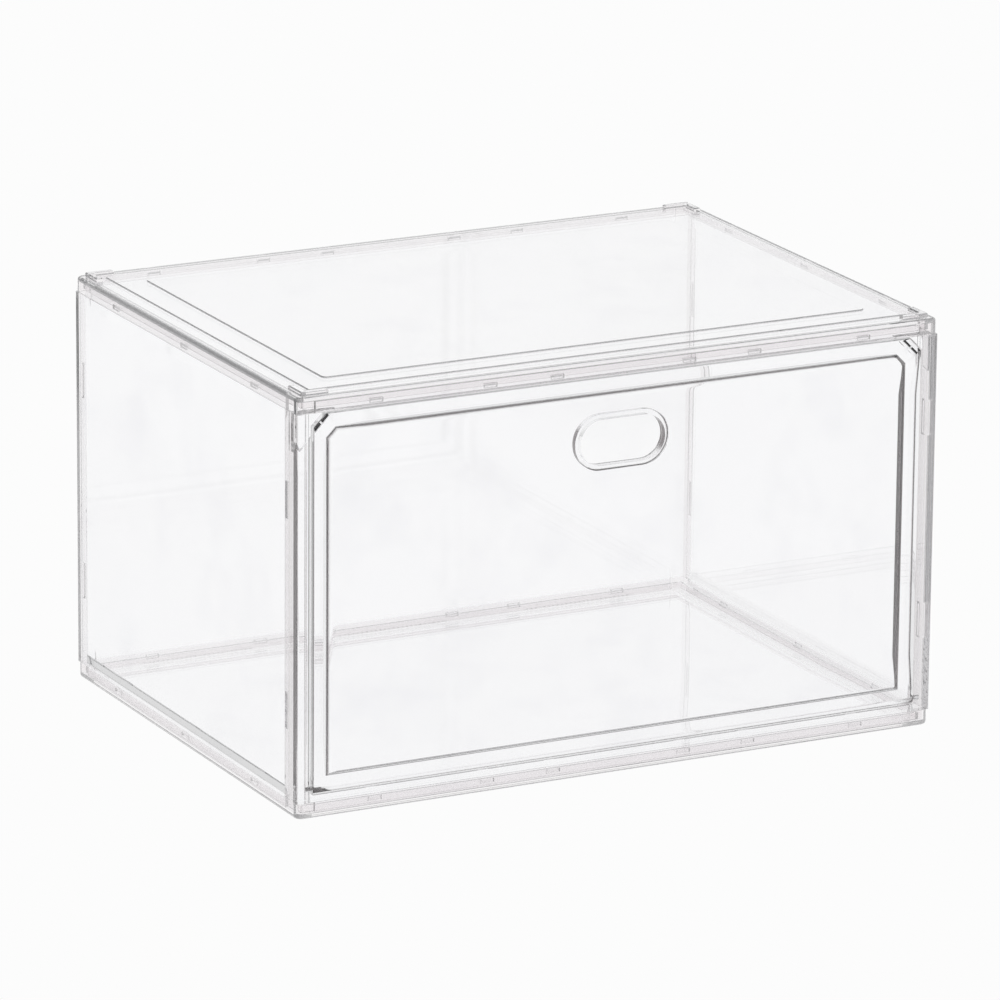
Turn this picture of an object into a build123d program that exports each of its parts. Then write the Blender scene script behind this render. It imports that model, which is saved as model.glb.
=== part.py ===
from build123d import *
import os

# A clear drop-front storage box, snapped together from moulded panels.
# Millimetres, +Z up, front towards -Y, origin on the floor under the middle of the box.

# Overall size
width = 340.0
depth = 250.0
body_height = 204.0
corner_radius = 4.0
inner_corner_radius = 0.8
post_radius = 1.2

# Trays: the base and the top share one plate, rim and guide wall
plate_thickness = 2.4
rim_wall = 2.0
rim_height = 7.8
rim_edge_round = 1.6
guide_wall = 1.4
guide_height = 3.4
foot_height = 2.4
foot_inset = 8.0
foot_width = 3.0
foot_nest_gap = 0.2

# Raised plateau, pad and corner locators of the top, for stacking
plateau_rise = 0.6
plateau_edge = 0.4
pad_inset = 25.6
pad_rise = 0.6
pad_corner = 3.0
pad_edge = 0.5
locator_height = 2.0
locator_inset = 3.6
locator_width = 3.4
locator_leg = 14.0
locator_edge = 0.5

# Walls, and the tongues by which they stand in the trays
wall = 2.4
tongue_thickness = 1.6
tongue_gap = 0.1
tongue_end_gap = 0.3
tongue_corner_gap = 10.0
band_height = 0.6
band_taper = 5.0
seat_gap = 0.05

# Upright lap joints between the walls
front_return = 9.0
back_return = 5.2
lap_length = 5.0
lap_gap = 0.05

# Snap tabs on the tongues and the pockets in the rims that they click into
pocket_length = 7.0
pocket_height = 2.2
pocket_skin = 0.8
snap_length = 6.0
snap_height = 1.6
snap_proud = 0.9
snap_land = 0.5
front_snap_shares = [-0.38, -0.206, -0.103, 0.103, 0.206, 0.38]
side_snap_shares = [-0.31, 0.0, 0.31]

# Snap tabs on the upright laps
lap_slot_length = 18.0
lap_slot_width = 2.4
lap_snap_length = 16.0
lap_snap_width = 1.6
lap_snap_proud = 0.8
lap_snap_share = 0.25

# Serrated grip bars on the base's guide wall, along the back
grip_bar_shares = [-0.31, 0.0, 0.31]
grip_teeth = 24
grip_pitch = 2.5
grip_tooth = 0.9
grip_height = 1.4

# Front frame
post_width = 8.5
post_flange = 1.8
post_flange_round = 0.85
head_height = 0.6
sill_height = 3.3
frame_thickness = 5.8
frame_step_inset = 4.0
frame_step_depth = 0.4
opening_chamfer = 6.3
gusset_leg = 12.5
gusset_thickness = 2.8

# Door
door_gap = 0.35
door_stop_gap = 0.2
door_thickness = 5.0
door_rim = 7.4
door_edge = 0.4
door_side_round = 1.0
window_chamfer = 4.8
window_thickness = 1.4
window_round = 3.0
hinge_pin_radius = 1.2
hinge_pin_length = 3.6
hinge_pin_edge = 0.3
hinge_running_gap = 0.05
hinge_end_gap = 0.3

# Finger hole with its moulded bead
hole_length = 45.0
hole_height = 22.5
hole_drop = 24.0
bead_width = 2.5
bead_round = 1.0

# Bar magnets
magnet_length = 4.5
magnet_width = 1.0
magnet_depth = 1.5
magnet_spacing = 5.5
magnet_edge_gap = 1.2
magnet_fit = 0.02

# Cuts run this much past the surface that they start from
overrun = 1.0

# Levels and places that several pieces share
left_x = -width / 2
front_y = -depth / 2
back_y = depth / 2
base_low = foot_height
top_high = base_low + body_height
wall_low = base_low + rim_height + seat_gap
wall_high = top_high - rim_height - seat_gap
wall_middle = (wall_low + wall_high) / 2
tongue_low = base_low + plate_thickness + tongue_end_gap
tongue_high = top_high - plate_thickness - tongue_end_gap
tongue_inset = rim_wall + tongue_gap
band_inset = tongue_inset + tongue_thickness
guide_inset = band_inset + tongue_gap
guide_back = back_y - guide_inset - guide_wall
pocket_rise = (tongue_low + wall_low) / 2 - base_low
plateau_inset = foot_inset + foot_width + foot_nest_gap
snap_levels = [base_low + pocket_rise, top_high - pocket_rise]
lap_inset = wall / 2 + lap_gap
tongue_span = width - 2 * tongue_corner_gap
lap_levels = [wall_middle + sign * lap_snap_share * body_height for sign in (-1, 1)]

opening_half_width = width / 2 - post_width
opening_low = wall_low + sill_height
opening_high = wall_high - head_height
door_half_width = opening_half_width - door_gap
door_low = opening_low + door_gap
door_high = opening_high - door_gap
door_front = front_y + frame_step_depth
door_back = door_front + door_thickness
hinge_y = (door_front + door_back) / 2
hinge_z = door_low + door_thickness / 2
gusset_front = door_back + door_stop_gap
gusset_reach = post_width + rim_height + head_height + gusset_leg


# Outlines
def rounded_outline(inset, mode=Mode.ADD):
    """Draw the box's plan outline, set in from the outer one."""
    radius = max(corner_radius - inset, inner_corner_radius)
    RectangleRounded(width - 2 * inset, depth - 2 * inset, radius, mode=mode)


def band_outline(outer_inset, inner_inset):
    """Draw the closed band between two plan outlines of the box."""
    rounded_outline(outer_inset)
    rounded_outline(inner_inset, mode=Mode.SUBTRACT)


def chamfered_outline(half_width, low, high, cut):
    """Draw an upright rectangle with its two upper corners cut off."""
    Polygon(
        (-half_width, low),
        (half_width, low),
        (half_width, high - cut),
        (half_width - cut, high),
        (cut - half_width, high),
        (-half_width, high - cut),
        align=None,
    )


def wall_outline():
    """Draw a wall's upright section: a plate, an edge band and a tongue at both ends."""
    Polygon(
        (0, wall_low),
        (tongue_inset, wall_low),
        (tongue_inset, tongue_low),
        (band_inset, tongue_low),
        (band_inset, wall_low + band_height),
        (wall, wall_low + band_height + band_taper),
        (wall, wall_high - band_height - band_taper),
        (band_inset, wall_high - band_height),
        (band_inset, tongue_high),
        (tongue_inset, tongue_high),
        (tongue_inset, wall_high),
        (0, wall_high),
        align=None,
    )


def snap_outline(level):
    """Draw a snap tab's section on a tongue, thin at the edge that goes in first."""
    away = 1 if level > wall_middle else -1
    Polygon(
        (tongue_inset, level + away * snap_height / 2),
        (tongue_inset - snap_proud, level - away * (snap_height / 2 - snap_land)),
        (tongue_inset - snap_proud, level - away * snap_height / 2),
        (tongue_inset, level - away * snap_height / 2),
        align=None,
    )


def return_outline(start, reach):
    """Draw a corner return in plan, with the inner half that slides behind a side panel."""
    Polygon(
        (0, start),
        (0, reach),
        (lap_inset, reach),
        (lap_inset, reach + lap_length),
        (wall, reach + lap_length),
        (wall, start),
        align=None,
    )


def lap_snap_outline(reach):
    """Draw the plan of a snap tab on a return's inner half."""
    middle = reach + lap_length / 2
    Polygon(
        (lap_inset, middle - lap_snap_width / 2),
        (lap_inset - lap_snap_proud, middle - lap_snap_width / 2),
        (lap_inset - lap_snap_proud, middle - lap_snap_width / 2 + snap_land),
        (lap_inset, middle + lap_snap_width / 2),
        align=None,
    )


# Working planes
def section_plane(face, along):
    """Upright plane across a wall, its first axis running inwards from the wall's outer face."""
    if face == "left":
        return Plane(origin=(left_x, along, 0), x_dir=(1, 0, 0), z_dir=(0, -1, 0))
    if face == "back":
        return Plane(origin=(along, back_y, 0), x_dir=(0, -1, 0), z_dir=(-1, 0, 0))
    return Plane(origin=(along, front_y, 0), x_dir=(0, 1, 0), z_dir=(1, 0, 0))


def corner_plane(side, end, level):
    """Level plane at an upright corner, its axes running inwards from the two outer faces."""
    corner = (side * width / 2, end * depth / 2, level)
    return Plane(origin=corner, x_dir=(-side, 0, 0), z_dir=(0, 0, side * end))


def front_plane(place):
    """Upright plane that faces the front, with its second axis up."""
    return Plane(origin=(0, place, 0), x_dir=(1, 0, 0), z_dir=(0, -1, 0))


def magnet_planes(side, place):
    """Planes for the two magnets that lie along the sloping edge of a gusset."""
    slope = Vector(-side, 0, 1).normalized()
    set_back = (magnet_edge_gap + magnet_width / 2) * slope.Z
    middle = Vector(
        side * (width / 2 - post_width - gusset_leg / 2 + set_back),
        place,
        opening_high - gusset_leg / 2 + set_back,
    )
    return [
        Plane(origin=middle + slope * (step * magnet_spacing / 2), x_dir=slope, z_dir=(0, 1, 0))
        for step in (-1, 1)
    ]


# Steps that several pieces share
def add_corner_returns(end, start, reach):
    """Add both upright corner returns, with their snap tabs, at the front or the back."""
    for side in (-1, 1):
        with BuildSketch(corner_plane(side, end, wall_low)) as corner_return:
            return_outline(start, reach)
        extrude(corner_return.sketch, amount=wall_high - wall_low, dir=(0, 0, 1))
        for level in lap_levels:
            with BuildSketch(corner_plane(side, end, level - lap_snap_length / 2)) as tab:
                lap_snap_outline(reach)
            extrude(tab.sketch, amount=lap_snap_length, dir=(0, 0, 1))


def add_snap_tabs(face, shares, length):
    """Add the snap tabs along both tongues of a wall."""
    for share in shares:
        for level in snap_levels:
            with BuildSketch(section_plane(face, share * length)) as tab:
                snap_outline(level)
            extrude(tab.sketch, amount=snap_length / 2, both=True)


def write_part(builder, name):
    """Label a finished piece and write its STEP file."""
    builder.part.label = name
    export_step(builder.part, f"parts/{name}.step")


os.makedirs("parts", exist_ok=True)

# Tray that the base and the top share, open side up
with BuildPart() as tray:
    with BuildSketch():
        rounded_outline(0)
    extrude(amount=rim_height)
    fillet(tray.faces().sort_by(Axis.Z)[0].edges(), radius=rim_edge_round)
    with BuildSketch(Plane.XY.offset(plate_thickness)):
        rounded_outline(rim_wall)
    extrude(amount=rim_height, mode=Mode.SUBTRACT)
    with Locations([(share * width, 0, pocket_rise) for share in front_snap_shares]):
        Box(pocket_length, depth - 2 * pocket_skin, pocket_height, mode=Mode.SUBTRACT)
    with Locations([(0, share * depth, pocket_rise) for share in side_snap_shares]):
        Box(width - 2 * pocket_skin, pocket_length, pocket_height, mode=Mode.SUBTRACT)
    with BuildSketch(Plane.XY.offset(plate_thickness)):
        band_outline(guide_inset, guide_inset + guide_wall)
    extrude(amount=guide_height)

# Base: the tray with a foot ring that nests round the plateau of the box below
with BuildPart() as base_panel:
    with Locations((0, 0, base_low)):
        add(tray.part)
    with BuildSketch():
        band_outline(foot_inset, foot_inset + foot_width)
    extrude(amount=foot_height)
    grip_places = [
        (share * width + (tooth - (grip_teeth - 1) / 2) * grip_pitch, guide_back)
        for share in grip_bar_shares
        for tooth in range(grip_teeth)
    ]
    with BuildSketch(Plane.XY.offset(base_low + plate_thickness)):
        with Locations(grip_places):
            Rectangle(grip_tooth, grip_tooth, rotation=45)
    extrude(amount=grip_height)
write_part(base_panel, "base_panel")

# Top: the tray upside down, with a plateau, a pad on it and four corner locators
with BuildPart() as top_panel:
    with Locations(Location((0, 0, top_high), (0, 180, 0))):
        add(tray.part)
    with BuildSketch(Plane.XY.offset(top_high)):
        rounded_outline(plateau_inset)
    extrude(amount=plateau_rise)
    fillet(top_panel.faces().sort_by(Axis.Z)[-1].edges(), radius=plateau_edge)
    with BuildSketch(Plane.XY.offset(top_high + plateau_rise)):
        RectangleRounded(width - 2 * pad_inset, depth - 2 * pad_inset, pad_corner)
    extrude(amount=pad_rise)
    fillet(top_panel.faces().sort_by(Axis.Z)[-1].edges(), radius=pad_edge)
    with BuildSketch(Plane.XY.offset(top_high)):
        band_outline(locator_inset, locator_inset + locator_width)
        locator_end = locator_inset + locator_leg
        Rectangle(width - 2 * locator_end, depth, mode=Mode.SUBTRACT)
        Rectangle(width, depth - 2 * locator_end, mode=Mode.SUBTRACT)
    extrude(amount=locator_height)
    locator_tops = top_panel.faces().filter_by(Axis.Z).group_by(Axis.Z)[-1]
    chamfer(locator_tops.edges(), length=locator_edge)
write_part(top_panel, "top_panel")

# Left side: a plate whose outer half laps over the returns of the frame and the back
with BuildPart() as left_side_panel:
    outer_front = front_y + front_return + lap_gap
    outer_back = back_y - back_return - lap_gap
    inner_front = outer_front + lap_length
    inner_back = outer_back - lap_length
    with BuildSketch(section_plane("left", inner_back)):
        wall_outline()
    extrude(amount=inner_back - inner_front)
    with BuildSketch(section_plane("left", outer_back)):
        with Locations((0, wall_low)):
            Rectangle(wall / 2, wall_high - wall_low, align=(Align.MIN, Align.MIN))
    extrude(amount=outer_back - outer_front)
    add_snap_tabs("left", side_snap_shares, depth)
    lap_slots = [
        (left_x, place, level)
        for place in (outer_front + lap_length / 2, outer_back - lap_length / 2)
        for level in lap_levels
    ]
    with Locations(lap_slots):
        Box(wall + overrun, lap_slot_width, lap_slot_length, mode=Mode.SUBTRACT)
write_part(left_side_panel, "left_side_panel")

with BuildPart() as right_side_panel:
    mirror(left_side_panel.part, about=Plane.YZ)
write_part(right_side_panel, "right_side_panel")

# Back: a plate with a return at each end
with BuildPart() as back_panel:
    with BuildSketch(section_plane("back", width / 2)):
        with Locations((0, wall_low)):
            Rectangle(wall, wall_high - wall_low, align=(Align.MIN, Align.MIN))
    extrude(amount=width)
    with BuildSketch(section_plane("back", tongue_span / 2)):
        wall_outline()
    extrude(amount=tongue_span)
    add_corner_returns(1, 0, back_return)
    corner_edges = back_panel.edges().filter_by(Axis.Z).group_by(Axis.Y)[-1]
    fillet(corner_edges, radius=post_radius)
    add_snap_tabs("back", front_snap_shares, width)
write_part(back_panel, "back_panel")

# Front frame: channelled posts, a sill and a head round the doorway, with gussets that stop the door
with BuildPart() as front_frame:
    with BuildSketch(front_plane(front_y)):
        with Locations((0, wall_middle)):
            Rectangle(width, wall_high - wall_low)
    extrude(amount=-frame_thickness)
    add_corner_returns(-1, frame_thickness, front_return)
    corner_edges = front_frame.edges().filter_by(Axis.Z).group_by(Axis.Y)[0]
    fillet(corner_edges, radius=post_radius)
    with BuildSketch(front_plane(front_y)):
        with Locations((0, wall_middle)):
            Rectangle(width - 2 * frame_step_inset, wall_high - wall_low)
    extrude(amount=-frame_step_depth, mode=Mode.SUBTRACT)
    with BuildSketch(front_plane(front_y)):
        chamfered_outline(opening_half_width, opening_low, opening_high, opening_chamfer)
    extrude(amount=-frame_thickness, mode=Mode.SUBTRACT)
    for low, high in ((tongue_low, wall_low), (wall_high, tongue_high)):
        with BuildSketch(section_plane("front", -tongue_span / 2)):
            with Locations((tongue_inset, low)):
                Rectangle(tongue_thickness, high - low, align=(Align.MIN, Align.MIN))
        extrude(amount=tongue_span)
    add_snap_tabs("front", front_snap_shares, width)
    for side in (-1, 1):
        with BuildSketch(corner_plane(side, -1, wall_low)):
            with Locations((post_width, frame_thickness)):
                Rectangle(post_flange, front_return - frame_thickness, align=(Align.MAX, Align.MIN))
        extrude(amount=wall_high - wall_low, dir=(0, 0, 1))
        flange_edges = front_frame.edges(Select.LAST).filter_by(Axis.Z).group_by(Axis.Y)[-1]
        fillet(flange_edges, radius=post_flange_round)
        with BuildSketch(front_plane(gusset_front)):
            Polygon(
                (side * (width / 2 - wall), wall_high),
                (side * (width / 2 - wall), top_high - gusset_reach + wall),
                (side * (width / 2 - gusset_reach + rim_height), wall_high),
                align=None,
            )
        extrude(amount=-gusset_thickness)
        for plane in magnet_planes(side, gusset_front):
            with BuildSketch(plane):
                Rectangle(magnet_length + 2 * magnet_fit, magnet_width + 2 * magnet_fit)
            extrude(amount=magnet_depth, mode=Mode.SUBTRACT)
        with Locations(Location((side * opening_half_width, hinge_y, hinge_z), (0, side * 90, 0))):
            Cylinder(
                hinge_pin_radius + hinge_running_gap,
                hinge_pin_length - door_gap + hinge_end_gap,
                align=(Align.CENTER, Align.CENTER, Align.MIN),
                mode=Mode.SUBTRACT,
            )
write_part(front_frame, "front_frame")

# Door: a rim round a thin window, flush in front, hung on two moulded pins at its foot
with BuildPart() as front_door:
    with BuildSketch(front_plane(door_front)):
        chamfered_outline(door_half_width, hinge_z, door_high, opening_chamfer)
    extrude(amount=-door_thickness)
    front_edges = front_door.edges().group_by(Axis.Y)[0]
    fillet(front_edges.sort_by(Axis.Z)[1:], radius=door_edge)
    side_edges = front_door.edges().filter_by(Axis.Z).group_by(Axis.Y)[-1]
    fillet(side_edges, radius=door_side_round)
    with Locations(Location((0, hinge_y, hinge_z), (0, 90, 0))):
        Cylinder(door_thickness / 2, 2 * door_half_width)
        Cylinder(hinge_pin_radius, 2 * (door_half_width + hinge_pin_length))
    pin_ends = front_door.faces().filter_by(Axis.X).sort_by(Axis.X)
    chamfer((pin_ends[:1] + pin_ends[-1:]).edges(), length=hinge_pin_edge)
    with BuildSketch(front_plane(door_back)):
        chamfered_outline(door_half_width - door_rim, door_low + door_rim, door_high - door_rim, window_chamfer)
    extrude(amount=door_thickness - window_thickness, mode=Mode.SUBTRACT)
    window_back = front_door.faces(Select.LAST).sort_by(SortBy.AREA)[-1]
    fillet(window_back.edges(), radius=window_round)
    hole_level = door_high - door_rim - hole_drop
    with BuildSketch(front_plane(door_front)):
        with Locations((0, hole_level)):
            SlotOverall(hole_length + 2 * bead_width, hole_height + 2 * bead_width)
    extrude(amount=-door_thickness)
    bead_back = front_door.faces().filter_by(Axis.Y).group_by(Axis.Y)[-1].sort_by(SortBy.AREA)[0]
    fillet(bead_back.edges(), radius=bead_round)
    with BuildSketch(front_plane(door_front)):
        with Locations((0, hole_level)):
            SlotOverall(hole_length, hole_height)
    extrude(amount=-door_thickness, mode=Mode.SUBTRACT)
    for side in (-1, 1):
        for plane in magnet_planes(side, door_back):
            with BuildSketch(plane):
                Rectangle(magnet_length + 2 * magnet_fit, magnet_width + 2 * magnet_fit)
            extrude(amount=-magnet_depth, mode=Mode.SUBTRACT)
write_part(front_door, "front_door")

# Bar magnets, two in each gusset and two facing them in each upper corner of the door
for side, side_name in ((-1, "left"), (1, "right")):
    for place, reach, holder in ((gusset_front, magnet_depth, "frame"), (door_back, -magnet_depth, "door")):
        with BuildPart() as magnets:
            for plane in magnet_planes(side, place):
                with BuildSketch(plane):
                    Rectangle(magnet_length, magnet_width)
                extrude(amount=reach)
        write_part(magnets, f"{side_name}_{holder}_magnets")
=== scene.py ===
"""A clear drop-front storage box, dressed and lit for a product photograph."""

import logging
import math
from dataclasses import dataclass, field
from enum import Enum
from typing import Any

import bmesh
import bpy
from mathutils import Matrix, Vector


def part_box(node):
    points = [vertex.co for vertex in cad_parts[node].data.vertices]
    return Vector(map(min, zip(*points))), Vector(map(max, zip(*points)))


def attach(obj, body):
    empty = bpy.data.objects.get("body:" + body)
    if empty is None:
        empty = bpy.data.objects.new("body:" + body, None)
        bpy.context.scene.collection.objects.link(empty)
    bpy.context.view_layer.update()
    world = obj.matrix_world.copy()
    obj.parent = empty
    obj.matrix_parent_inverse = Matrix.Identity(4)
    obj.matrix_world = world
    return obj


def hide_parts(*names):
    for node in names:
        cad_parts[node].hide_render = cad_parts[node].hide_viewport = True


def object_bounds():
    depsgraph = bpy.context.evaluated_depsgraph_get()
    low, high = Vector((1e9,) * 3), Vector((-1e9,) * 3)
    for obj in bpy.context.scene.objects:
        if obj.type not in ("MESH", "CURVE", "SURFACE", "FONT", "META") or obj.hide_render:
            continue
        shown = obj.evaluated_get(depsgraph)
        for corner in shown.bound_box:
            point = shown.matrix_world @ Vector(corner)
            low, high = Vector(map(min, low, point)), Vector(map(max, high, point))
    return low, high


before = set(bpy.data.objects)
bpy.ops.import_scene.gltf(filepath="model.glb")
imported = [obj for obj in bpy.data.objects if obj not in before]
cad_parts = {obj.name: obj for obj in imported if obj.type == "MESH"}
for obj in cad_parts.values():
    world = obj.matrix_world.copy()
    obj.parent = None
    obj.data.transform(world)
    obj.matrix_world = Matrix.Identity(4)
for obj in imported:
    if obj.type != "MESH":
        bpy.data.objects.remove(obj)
CAD_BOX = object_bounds()

Colour = tuple[float, float, float]
Point = tuple[float, float, float]

WHITE = (1.0, 1.0, 1.0, 1.0)
LEVEL = 90.0

log = logging.getLogger("storage_box")


class Axis(Enum):
    """The axes of the box: across its width, from its door to its back, and up."""

    ACROSS = "X"
    BACKWARDS = "Y"
    UP = "Z"


# Shader maths


class Wire:
    """A shader socket that arithmetic can be written on."""

    def __init__(self, shader: "Shader", socket: bpy.types.NodeSocket) -> None:
        """Keep the node tree and the socket.

        Args:
            shader: The node tree that the maths nodes go into.
            socket: The output that this wire stands for.
        """
        self.shader = shader
        self.socket = socket

    def _maths(self, operation: str, *values: Any) -> "Wire":
        """Add one Math node.

        Args:
            operation: The Math node's operation.
            values: Its inputs, as wires or numbers.

        Returns:
            The wire of its result.
        """
        inputs = dict(enumerate(values))
        return self.shader.node("ShaderNodeMath", {"operation": operation}, inputs)

    def __add__(self, other: Any) -> "Wire":
        """Return self + other."""
        return self._maths("ADD", self, other)

    def __sub__(self, other: Any) -> "Wire":
        """Return self - other."""
        return self._maths("SUBTRACT", self, other)

    def __mul__(self, other: Any) -> "Wire":
        """Return self * other."""
        return self._maths("MULTIPLY", self, other)

    def __rsub__(self, other: Any) -> "Wire":
        """Return other - self."""
        return self._maths("SUBTRACT", other, self)

    def __pow__(self, other: Any) -> "Wire":
        """Return self ** other."""
        return self._maths("POWER", self, other)

    __radd__ = __add__
    __rmul__ = __mul__

    def __truediv__(self, other: Any) -> "Wire":
        """Return self / other."""
        return self._maths("DIVIDE", self, other)

    def __abs__(self) -> "Wire":
        """Return the size of this value without its sign."""
        return self._maths("ABSOLUTE", self)

    def clamped(self) -> "Wire":
        """Return this value held between 0 and 1."""
        return self._maths("MINIMUM", self.at_least(0.0), 1.0)

    def at_least(self, lowest: float) -> "Wire":
        """Return this value, or the lowest one where it is less."""
        return self._maths("MAXIMUM", self, lowest)

    def along(self, axis: Axis) -> "Wire":
        """Return one part of this vector.

        Args:
            axis: The axis of the part.

        Returns:
            The wire of its value.
        """
        return self.shader.node("ShaderNodeSeparateXYZ", inputs={0: self}, output=axis.value)

    def rising(self, low: float, high: float) -> "Wire":
        """Return 0 up to a low value, 1 from a high value on, and a soft step between them.

        Args:
            low: Where the step starts.
            high: Where the step ends.

        Returns:
            The wire of the step.
        """
        return self.shader.node(
            "ShaderNodeMapRange",
            {"interpolation_type": "SMOOTHSTEP"},
            {0: self, 1: low, 2: high, 3: 0.0, 4: 1.0},
        )


class Shader:
    """A node tree that is filled through one method."""

    def __init__(self, tree: bpy.types.NodeTree) -> None:
        """Empty the tree.

        Args:
            tree: The material's or the world's node tree.
        """
        self.tree = tree
        tree.nodes.clear()

    def node(
        self,
        kind: str,
        settings: dict[str, Any] | None = None,
        inputs: dict[Any, Any] | None = None,
        output: int | str = 0,
    ) -> Wire:
        """Add one node, with its settings made before its sockets are filled.

        Args:
            kind: The node's type.
            settings: Its properties.
            inputs: Its sockets by name or number, as wires or plain values.
            output: The output that the returned wire stands for.

        Returns:
            The wire of that output.
        """
        made = self.tree.nodes.new(kind)
        for key, value in (settings or {}).items():
            setattr(made, key, value)
        for key, value in (inputs or {}).items():
            if isinstance(value, Wire):
                self.tree.links.new(value.socket, made.inputs[key])
            else:
                made.inputs[key].default_value = value
        socket = made.outputs[output] if len(made.outputs) else None
        return Wire(self, socket)

    def blend(self, share: Wire, first: Any, second: Colour) -> Wire:
        """Blend a colour into another.

        Args:
            share: The share of the second colour, from 0 to 1.
            first: The first colour, or its wire.
            second: The second colour.

        Returns:
            The wire of the blended colour.
        """
        start = first if isinstance(first, Wire) else (*first, 1.0)
        inputs = {0: share, 6: start, 7: (*second, 1.0)}
        return self.node("ShaderNodeMix", {"data_type": "RGBA"}, inputs, output=2)


def object_place(shader: Shader) -> Wire:
    """Return the wire of the Object coordinates."""
    return shader.node("ShaderNodeTexCoord", output="Object")


def noise(shader: Shader, scale: float, detail: float) -> Wire:
    """Add a noise pattern on Object coordinates.

    Args:
        shader: The node tree.
        scale: Cells of the pattern to a metre.
        detail: Octaves of the pattern.

    Returns:
        The wire of its value, from 0 to 1.
    """
    inputs = {"Vector": object_place(shader), "Scale": scale, "Detail": detail}
    return shader.node("ShaderNodeTexNoise", inputs=inputs)


def flagged(shader: Shader, aside: Wire, side_kept: float, kept: float, least: float) -> Wire:
    """Dim the light that has turned in the plastic, as black flags round a light table do.

    A flag at the side shows from the first turn on, and one behind the lights from the second.

    Args:
        shader: The node tree of the floor or of the surroundings.
        aside: Where the flags at the sides stand, from 0 to 1.
        side_kept: The share of the light from the sides that each turn in the plastic keeps.
        kept: The share of any light that each further turn keeps.
        least: The least share of it that is left after many turns.

    Returns:
        The wire of the share that is left.
    """
    turns = shader.node("ShaderNodeLightPath", output="Glossy Depth")
    from_sides = shader.node("ShaderNodeMath", {"operation": "POWER"}, {0: side_kept, 1: turns})
    left = shader.node("ShaderNodeMath", {"operation": "POWER"}, {0: kept, 1: (turns - 1.0).at_least(0.0)})
    return (1.0 - aside * (1.0 - from_sides)) * left.at_least(least)


# Finishes, and the painted shade on the edges of the clear plastic


@dataclass(frozen=True)
class ClearPlastic:
    """Polished clear plastic with faint moulding ripples and handling marks, and painted shade on its edges.

    Edges are the faces that don't look along the thin axis of their moulding; their base colour is greyed as
    a painted shade for the dark lines that refraction draws there. The ledges, which are the edges that look
    up, get little of this painted shade and stay nearly as clear as the plates.
    """

    name: str
    clear: Colour = (0.985, 0.985, 0.99)
    smudged: Colour = (0.955, 0.955, 0.965)
    ior: float = 1.49
    polish: float = 0.006
    smudge_roughness: float = 0.03
    smudge_scale: float = 26.0
    smudge_detail: float = 4.0
    smudge_start: float = 0.52
    smudge_steepness: float = 5.0
    ripple_scale: float = 9.0
    ripple_detail: float = 1.0
    ripple_height: float = 0.00006
    depth_colour: Colour = (0.62, 0.64, 0.68)
    depth_density: float = 0.6
    # Painted shade: the grey that the edges are blended to, and where it starts, is full and is taken off the
    # ones that look up.
    edge_shade: Colour = (0.93, 0.915, 0.92)
    thin: Axis = Axis.UP
    edge_low: float = 0.6
    edge_high: float = 0.9
    ledge_low: float = 0.4
    ledge_high: float = 0.8
    ledge_share: float = 0.95
    shadow: Colour = (0.93, 0.93, 0.94)

    def build(self) -> bpy.types.Material:
        """Build the material.

        Returns:
            The material.
        """
        material = bpy.data.materials.new(self.name)
        material.use_nodes = True
        shader = Shader(material.node_tree)
        patches = noise(shader, self.smudge_scale, self.smudge_detail)
        smudges = ((patches - self.smudge_start) * self.smudge_steepness).clamped()
        ripple = noise(shader, self.ripple_scale, self.ripple_detail)
        facing = shader.node("ShaderNodeTexCoord", output="Normal")
        # Painted shade on the edges: faces turned from the thin axis are greyed over the smudges, those that
        # look up much less.
        at_edge = 1.0 - abs(facing.along(self.thin)).rising(self.edge_low, self.edge_high)
        on_ledge = facing.along(Axis.UP).rising(self.ledge_low, self.ledge_high)
        painted_edge_shade = at_edge * (1.0 - on_ledge * self.ledge_share)
        colour = shader.blend(painted_edge_shade, shader.blend(smudges, self.clear, self.smudged), self.edge_shade)
        bump = shader.node(
            "ShaderNodeBump", inputs={"Height": ripple, "Strength": 1.0, "Distance": self.ripple_height}
        )
        plastic = shader.node(
            "ShaderNodeBsdfPrincipled",
            inputs={
                "Base Color": colour,
                "Roughness": smudges * self.smudge_roughness + self.polish,
                "IOR": self.ior,
                "Transmission Weight": 1.0,
                "Normal": bump,
            },
        )
        lets_light_by = shader.node("ShaderNodeBsdfTransparent", inputs={"Color": (*self.shadow, 1.0)})
        is_shadow = shader.node("ShaderNodeLightPath", output="Is Shadow Ray")
        surface = shader.node("ShaderNodeMixShader", inputs={0: is_shadow, 1: plastic, 2: lets_light_by})
        depth = shader.node(
            "ShaderNodeVolumeAbsorption",
            inputs={"Color": (*self.depth_colour, 1.0), "Density": self.depth_density},
        )
        shader.node("ShaderNodeOutputMaterial", inputs={"Surface": surface, "Volume": depth})
        return material


@dataclass(frozen=True)
class NickelPlate:
    """Dull nickel plating, a little stained."""

    name: str
    bright: Colour = (0.36, 0.35, 0.36)
    stained: Colour = (0.17, 0.16, 0.17)
    roughness: float = 0.28
    stain_roughness: float = 0.2
    stain_scale: float = 900.0
    stain_detail: float = 3.0
    grain_scale: float = 6000.0
    grain_detail: float = 2.0
    grain_strength: float = 0.3
    grain_height: float = 0.00002

    def build(self) -> bpy.types.Material:
        """Build the material.

        Returns:
            The material.
        """
        material = bpy.data.materials.new(self.name)
        material.use_nodes = True
        shader = Shader(material.node_tree)
        stain = noise(shader, self.stain_scale, self.stain_detail)
        grain = noise(shader, self.grain_scale, self.grain_detail)
        colour = shader.blend(stain, self.bright, self.stained)
        bump = shader.node(
            "ShaderNodeBump",
            inputs={"Height": grain, "Strength": self.grain_strength, "Distance": self.grain_height},
        )
        metal = shader.node(
            "ShaderNodeBsdfPrincipled",
            inputs={
                "Base Color": colour,
                "Metallic": 1.0,
                "Roughness": stain * self.stain_roughness + self.roughness,
                "Normal": bump,
            },
        )
        shader.node("ShaderNodeOutputMaterial", inputs={"Surface": metal})
        return material


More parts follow.
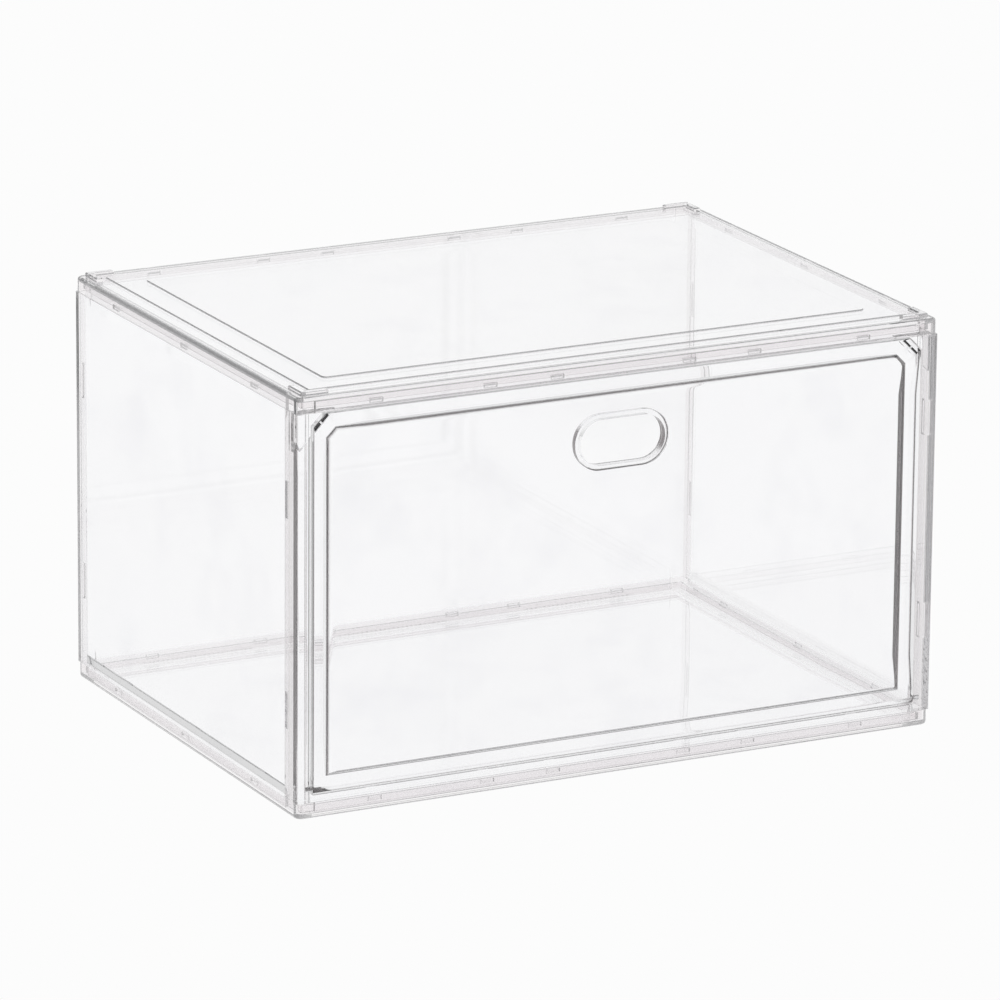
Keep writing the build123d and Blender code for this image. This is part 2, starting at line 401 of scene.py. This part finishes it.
@dataclass(frozen=True)
class PaleFloor:
    """The pale light table that the box stands on, with a black flag at each side."""

    name: str = "pale_floor"
    glow: float = 0.974
    side_kept: float = 0.6
    kept: float = 0.55
    least: float = 0.5
    side_low: float = 0.55
    side_high: float = 0.8
    near: float = 0.05
    far: float = 0.2

    def build(self) -> bpy.types.Material:
        """Build the material.

        Returns:
            The material.
        """
        material = bpy.data.materials.new(self.name)
        material.use_nodes = True
        shader = Shader(material.node_tree)
        place = object_place(shader)
        half_width = CAD_BOX[1][0]
        front = CAD_BOX[0][1]
        across = (abs(place.along(Axis.ACROSS)) - half_width).at_least(0.0)
        backwards = place.along(Axis.BACKWARDS) - front
        reach = (across * across + backwards * backwards) ** 0.5
        aside = (across / reach).rising(self.side_low, self.side_high) * reach.rising(self.near, self.far)
        strength = flagged(shader, aside, self.side_kept, self.kept, self.least) * self.glow
        light = shader.node("ShaderNodeEmission", inputs={"Color": WHITE, "Strength": strength})
        shader.node("ShaderNodeOutputMaterial", inputs={"Surface": light})
        return material


# The box


@dataclass
class Panels:
    """The clear panels that snap together into the box."""

    nodes: dict[Axis, tuple[str, ...]] = field(
        default_factory=lambda: {
            Axis.ACROSS: ("left_side_panel", "right_side_panel"),
            Axis.BACKWARDS: ("back_panel",),
            Axis.UP: ("base_panel", "top_panel"),
        }
    )
    frame_node: str = "front_frame"
    # The frame's plastic gets a darker painted shade on its edges than the panels.
    frame_finish_and_shade: ClearPlastic = ClearPlastic(
        "clear_frame", edge_shade=(0.8, 0.78, 0.785), thin=Axis.BACKWARDS
    )

    def dress(self) -> list[str]:
        """Give every panel the clear plastic for the way that it faces, with painted shade on the edges that
        don't look along its thin axis.

        Returns:
            The names of the panels.
        """
        names = []
        for axis, nodes in self.nodes.items():
            # Each panel's plastic greys, as painted shade, the edges that don't look along its thin axis.
            material = ClearPlastic(f"clear_panel_{axis.value.lower()}", thin=axis).build()
            for name in nodes:
                dress_node(name, material)
                names.append(name)
        dress_node(self.frame_node, self.frame_finish_and_shade.build())
        return [*names, self.frame_node]


@dataclass
class Door:
    """The clear door that swings down at the front, with a deeper rim than its node has."""

    node: str = "front_door"
    name: str = "door_shell"
    body: str = "door"
    # The door's plastic gets a much darker painted shade on its edges than the panels, for the dark lines
    # round its window and rim.
    finish: ClearPlastic = ClearPlastic("clear_door", edge_shade=(0.26, 0.24, 0.245), thin=Axis.BACKWARDS)
    pin_length: float = 0.0036
    rim: float = 0.0074
    side_round: float = 0.001
    deeper: float = 0.0036
    step: float = 0.016
    corner_drop: float = 0.0132
    corner_reach: float = 0.0123
    fit: float = 0.0001
    weld: float = 0.000001
    crease: float = 25.0
    back: float = field(init=False)
    top: float = field(init=False)
    foot: float = field(init=False)
    half_width: float = field(init=False)

    def __post_init__(self) -> None:
        """Take the door's place from the frame."""
        low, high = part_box(self.node)
        self.back = high[1]
        self.top = high[2]
        self.foot = low[2] + self.rim
        self.half_width = high[0] - self.pin_length

    def cuts(self) -> list[tuple[Point, Point]]:
        """List the planes where the deep part of the rim starts and ends.

        Returns:
            A point and a normal for each plane.
        """
        levels = [self.foot, self.foot + self.step]
        levels += [self.top - self.corner_drop - self.step, self.top - self.corner_drop]
        reach = self.half_width - self.corner_reach
        places = [side * (reach + more) for side in (-1.0, 1.0) for more in (0.0, -self.step)]
        planes = [((0.0, 0.0, level), (0.0, 0.0, 1.0)) for level in levels]
        return planes + [((place, 0.0, 0.0), (1.0, 0.0, 0.0)) for place in places]

    def is_deep(self, place: Any) -> bool:
        """Tell whether a point of the door belongs to the back of the deep rim.

        Args:
            place: The point.

        Returns:
            Whether it moves back.
        """
        across, level = abs(place.x), place.z
        in_rim = across > self.half_width - self.rim - self.fit or level > self.top - self.rim - self.fit
        on_side = across > self.half_width - self.side_round - self.fit
        at_back = place.y > self.back - (self.side_round if on_side else 0.0) - self.fit
        below_corner = level < self.top - self.corner_drop - self.step + self.fit
        between_corners = across < self.half_width - self.corner_reach - self.step + self.fit
        above_foot = level > self.foot + self.step - self.fit
        return in_rim and at_back and above_foot and (below_corner or between_corners)

    def build_shell(self) -> bpy.types.Object:
        """Copy the door's solid and move the back of its rim to its full depth.

        Returns:
            The door's shell, which stands for the node.
        """
        shape = bmesh.new()
        shape.from_mesh(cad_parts[self.node].data)
        bmesh.ops.remove_doubles(shape, verts=shape.verts, dist=self.weld)
        for point, normal in self.cuts():
            parts = shape.verts[:] + shape.edges[:] + shape.faces[:]
            bmesh.ops.bisect_plane(
                shape, geom=parts, dist=self.weld, plane_co=point, plane_no=normal
            )
        deep = [vert for vert in shape.verts if self.is_deep(vert.co)]
        bmesh.ops.translate(shape, verts=deep, vec=(0.0, self.deeper, 0.0))
        return finished_piece(shape, self.name, self.body, self.node, self.crease)

    def dress(self) -> list[str]:
        """Give the door its clear plastic, with a dark painted shade on its edges.

        Returns:
            The name of the door.
        """
        shell = self.build_shell()
        shell.data.materials.append(self.finish.build())
        return [self.name]


@dataclass
class Magnets:
    """The bar magnets in the gussets and in the door's upper corners."""

    nodes: tuple[str, ...] = (
        "left_frame_magnets",
        "right_frame_magnets",
        "left_door_magnets",
        "right_door_magnets",
    )
    finish: NickelPlate = NickelPlate("nickel_plate")

    def dress(self) -> list[str]:
        """Give every magnet its plating.

        Returns:
            The names of the magnet pairs.
        """
        material = self.finish.build()
        for name in self.nodes:
            dress_node(name, material)
        return list(self.nodes)


def finished_piece(
    shape: bmesh.types.BMesh, name: str, body: str, node: str, crease: float
) -> bpy.types.Object:
    """Make a piece of a finished shape and put it in the place of its node.

    Args:
        shape: The shape, in the frame's own place.
        name: The piece's name.
        body: The body that it rides on.
        node: The node that it stands for.
        crease: The least turn between two faces that stays sharp, in degrees.

    Returns:
        The piece.
    """
    mesh = bpy.data.meshes.new(name)
    shape.to_mesh(mesh)
    shape.free()
    mesh.shade_smooth()
    mesh.set_sharp_from_angle(angle=math.radians(crease))
    piece = bpy.data.objects.new(name, mesh)
    bpy.context.scene.collection.objects.link(piece)
    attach(piece, body)
    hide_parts(node)
    return piece


def dress_node(name: str, material: bpy.types.Material) -> None:
    """Give a node of the frame one material.

    Args:
        name: The node's name.
        material: The material for all its slots.
    """
    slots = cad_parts[name].material_slots
    for slot in slots:
        slot.material = material
    if not slots:
        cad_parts[name].data.materials.append(material)


# The studio


@dataclass
class Studio:
    """The pale floor, the soft light and the camera."""

    floor_size: float = 24.0
    camera_place: Point = (-1.6528, -3.2146, 1.1570)
    azimuth: float = -27.20
    elevation: float = 16.24
    roll: float = 0.50
    lens: float = 278.9
    sensor: float = 36.0
    nearest: float = 0.1
    farthest: float = 60.0
    horizon_light: float = 0.974
    overhead_light: float = 0.4
    rise_low: float = 0.5
    rise_high: float = 0.85
    back_low: float = -0.6
    back_high: float = 0.1
    world_side_kept: float = 0.6
    world_kept: float = 0.55
    world_least: float = 0.5
    world_side_low: float = 0.55
    world_side_high: float = 0.8
    front_share: float = 0.75
    bounces: int = 128
    diffuse_bounces: int = 2

    def build_floor(self) -> bpy.types.Object:
        """Build the floor.

        Returns:
            The floor.
        """
        mesh = bpy.data.meshes.new("floor")
        shape = bmesh.new()
        bmesh.ops.create_grid(shape, x_segments=1, y_segments=1, size=self.floor_size / 2)
        shape.to_mesh(mesh)
        shape.free()
        floor = bpy.data.objects.new("floor", mesh)
        bpy.context.scene.collection.objects.link(floor)
        mesh.materials.append(PaleFloor().build())
        return floor

    def build_world(self) -> None:
        """Build the surroundings: a bright screen behind, and less light overhead, in front and aside."""
        world = bpy.data.worlds.new("studio")
        world.use_nodes = True
        bpy.context.scene.world = world
        shader = Shader(world.node_tree)
        place = shader.node("ShaderNodeTexCoord", output="Generated")
        low = 1.0 - place.along(Axis.UP).rising(self.rise_low, self.rise_high)
        rear = place.along(Axis.BACKWARDS).rising(self.back_low, self.back_high)
        behind = rear * (1.0 - self.front_share) + self.front_share
        aside = abs(place.along(Axis.ACROSS)).rising(self.world_side_low, self.world_side_high)
        left = flagged(shader, aside, self.world_side_kept, self.world_kept, self.world_least)
        screen = low * behind * left
        strength = screen * (self.horizon_light - self.overhead_light) + self.overhead_light
        light = shader.node("ShaderNodeBackground", inputs={"Color": WHITE, "Strength": strength})
        shader.node("ShaderNodeOutputWorld", inputs={"Surface": light})

    def build_camera(self) -> bpy.types.Object:
        """Build the camera at the photograph's viewing angle.

        Returns:
            The camera.
        """
        lens = bpy.data.cameras.new("camera")
        lens.lens = self.lens
        lens.sensor_width = self.sensor
        lens.clip_start = self.nearest
        lens.clip_end = self.farthest
        camera = bpy.data.objects.new("camera", lens)
        bpy.context.scene.collection.objects.link(camera)
        turns = ((self.azimuth, "Z"), (LEVEL - self.elevation, "X"), (self.roll, "Z"))
        first, second, third = (Matrix.Rotation(math.radians(angle), 4, axis) for angle, axis in turns)
        camera.matrix_world = Matrix.Translation(self.camera_place) @ first @ second @ third
        bpy.context.scene.camera = camera
        return camera

    def set_picture(self) -> None:
        """Set how the picture is toned and how often light may turn in the plastic."""
        scene = bpy.context.scene
        scene.view_settings.view_transform = "Standard"
        scene.view_settings.look = "None"
        scene.cycles.max_bounces = self.bounces
        scene.cycles.transmission_bounces = self.bounces
        scene.cycles.glossy_bounces = self.bounces
        scene.cycles.transparent_max_bounces = self.bounces
        scene.cycles.diffuse_bounces = self.diffuse_bounces
        scene.cycles.caustics_refractive = True
        scene.cycles.caustics_reflective = True


def main() -> None:
    """Build the studio, then dress the box piece by piece."""
    logging.basicConfig(level=logging.INFO, format="%(name)s: %(message)s")
    studio = Studio()
    studio.build_camera()
    studio.build_floor()
    studio.build_world()
    studio.set_picture()
    for assembly in (Panels(), Door(), Magnets()):
        for name in assembly.dress():
            log.info("dressed %s", name)


if __name__ == "__main__":
    main()
